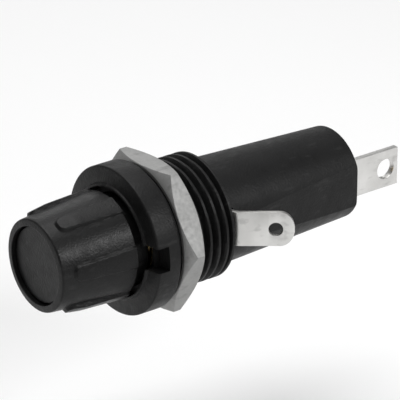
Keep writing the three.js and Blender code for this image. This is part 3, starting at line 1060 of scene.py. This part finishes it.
def build_solder(name, node, narrows_rearwards):
    """The domed blob of solder that joins the fuse wire to one of the fuse's caps."""
    front, rear = span(node)
    radius = top_radius(node)
    wide, narrow = (front, rear) if narrows_rearwards else (rear, front)
    dome = []
    for t in np.linspace(0, math.pi / 2, 10)[:-1]:
        dome.append((radius * math.cos(t), wide + (narrow - wide) * math.sin(t)))
    profile = [(0, wide)] + dome + [(0, narrow)]

    def reshape(ring_radius, y, angles):
        return ring_radius * (1 + 0.06 * np.sin(2 * angles + 1) + 0.04 * np.sin(5 * angles))

    return turned(name, profile, 48, reshape, closed=False)


# ---- Assembly ----------------------------------------------------------------------------------

finish_piece(build_front_body(), "holder", "body_moulding", BLACK)
finish_piece(build_barrel(), "holder", "body_moulding", BLACK)
finish_piece(build_sleeve(), "holder", "side_contact_sleeve", BRASS)
finish_piece(build_side_terminal(), "holder", "side_terminal", TIN)
finish_piece(build_end_terminal(), "holder", "end_terminal", TIN)
finish_piece(build_rivet(), "holder", "end_contact_rivet", BRASS)
finish_piece(build_contact_cup(), "holder", "end_contact_cup", BRASS)
finish_piece(build_washer(), "washer", "panel_washer", RUBBER)
finish_piece(build_nut(), "nut", "hex_nut", NICKEL)
finish_piece(build_knob(), "cap", "cap_knob", KNOB_BLACK)
finish_piece(build_face_disc(), "cap", "cap_face_disc", KNOB_BLACK)
finish_piece(build_ferrule(), "cap", "cap_ferrule", BRASS)
finish_piece(build_ferrule_rivet(), "cap", "ferrule_rivet", BRASS)
finish_piece(build_plunger(), "fuse_carrier", "cap_plunger", BRASS)
for end in ("front", "rear"):
    cap_node = f"fuse_{end}_cap"
    fuse_cap = build_fuse_cap(f"{end}_fuse_cap", cap_node, opens_rearwards=end == "front")
    finish_piece(fuse_cap, "fuse_carrier", cap_node, FUSE_NICKEL)
finish_piece(build_glass(), "fuse_carrier", "fuse_glass_tube", GLASS)
finish_piece(build_fuse_wire(), "fuse_carrier", "fuse_element", WIRE)
for end in ("front", "rear"):
    solder_node = f"fuse_{end}_solder"
    solder = build_solder(f"{end}_solder", solder_node, narrows_rearwards=end == "front")
    finish_piece(solder, "fuse_carrier", solder_node, SOLDER)

contact_spring = build_spring()
contact_spring.data.materials.append(STEEL)
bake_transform(contact_spring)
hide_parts("cap_spring")


# ---- Floor, light and camera -------------------------------------------------------------------

FLOOR_Z = -30
FLOOR_FLAT_RADIUS = 1000
FLOOR_CURVE_RADIUS = 500
FLOOR_SIDES = 64
FLOOR_DARK = (0.93, 0.93, 0.93)
FLOOR_LIGHT = (0.95, 0.95, 0.95)


def build_floor():
    """A plain pale floor that curves up behind the object on every side."""
    profile = [(share * FLOOR_FLAT_RADIUS, 0) for share in (0, 0.3, 0.6, 1)]
    for t in np.linspace(0, math.pi / 2, 12):
        radius = FLOOR_FLAT_RADIUS + FLOOR_CURVE_RADIUS * math.sin(t)
        profile.append((radius, FLOOR_CURVE_RADIUS * (1 - math.cos(t))))
    points = []
    for radius, z in profile:
        for i in range(FLOOR_SIDES):
            angle = TURN * i / FLOOR_SIDES
            points.append((radius * math.cos(angle), radius * math.sin(angle), z + FLOOR_Z))
    faces = ring_quads(len(profile), FLOOR_SIDES)
    floor = make_object("studio_floor", points, faces, sharp_degrees=60)
    n = Nodes("studio floor")
    shades = n.noise(scale=3, detail=2)
    n.link(n.mixed(shades, FLOOR_DARK, FLOOR_LIGHT), n.shader.inputs["Base Color"])
    n.shader.inputs["Roughness"].default_value = 0.9
    floor.data.materials.append(n.material)


def area_light(name, place, target, size, power):
    """A square soft light at a place, pointing at a target. Sizes are in millimetres, power in watts."""
    data = bpy.data.lights.new(name, "AREA")
    data.size = size * MM
    data.energy = power
    light = bpy.data.objects.new(name, data)
    bpy.context.scene.collection.objects.link(light)
    light.location = Vector(place) * MM
    aim = Vector(target) - Vector(place)
    light.rotation_euler = aim.to_track_quat("-Z", "Y").to_euler()


def build_camera(azimuth, elevation, distance, target, focal_length):
    """A camera that looks at the target, in millimetres, from an azimuth and elevation in degrees.
    Azimuth 0 looks along +Y, and azimuth 90 looks along -X."""
    a, e = math.radians(azimuth), math.radians(elevation)
    back = Vector((math.sin(a) * math.cos(e), -math.cos(a) * math.cos(e), math.sin(e)))
    data = bpy.data.cameras.new("camera")
    data.sensor_width = 36
    data.lens = focal_length
    data.clip_start = 0.01
    camera = bpy.data.objects.new("camera", data)
    bpy.context.scene.collection.objects.link(camera)
    camera.location = (Vector(target) + back * distance) * MM
    camera.rotation_euler = (-back).to_track_quat("-Z", "Y").to_euler()
    bpy.context.scene.camera = camera


def build_world(strength):
    """An even white surround, and plain display colours."""
    world = bpy.data.worlds.new("studio")
    world.use_nodes = True
    background = world.node_tree.nodes["Background"]
    background.inputs["Color"].default_value = (1, 1, 1, 1)
    background.inputs["Strength"].default_value = strength
    bpy.context.scene.world = world
    bpy.context.scene.view_settings.view_transform = "Standard"


OBJECT_MIDDLE = (0, 8, 0)

build_floor()
area_light("top_light", (-60, 20, 320), OBJECT_MIDDLE, size=260, power=0.75)
area_light("right_light", (270, 135, 180), OBJECT_MIDDLE, size=110, power=0.5)
area_light("left_light", (-280, 165, 150), OBJECT_MIDDLE, size=120, power=0.07)
build_world(strength=0.36)
build_camera(azimuth=53.1, elevation=25.1, distance=400, target=(0.2, 9.7, 1.9), focal_length=294.5)
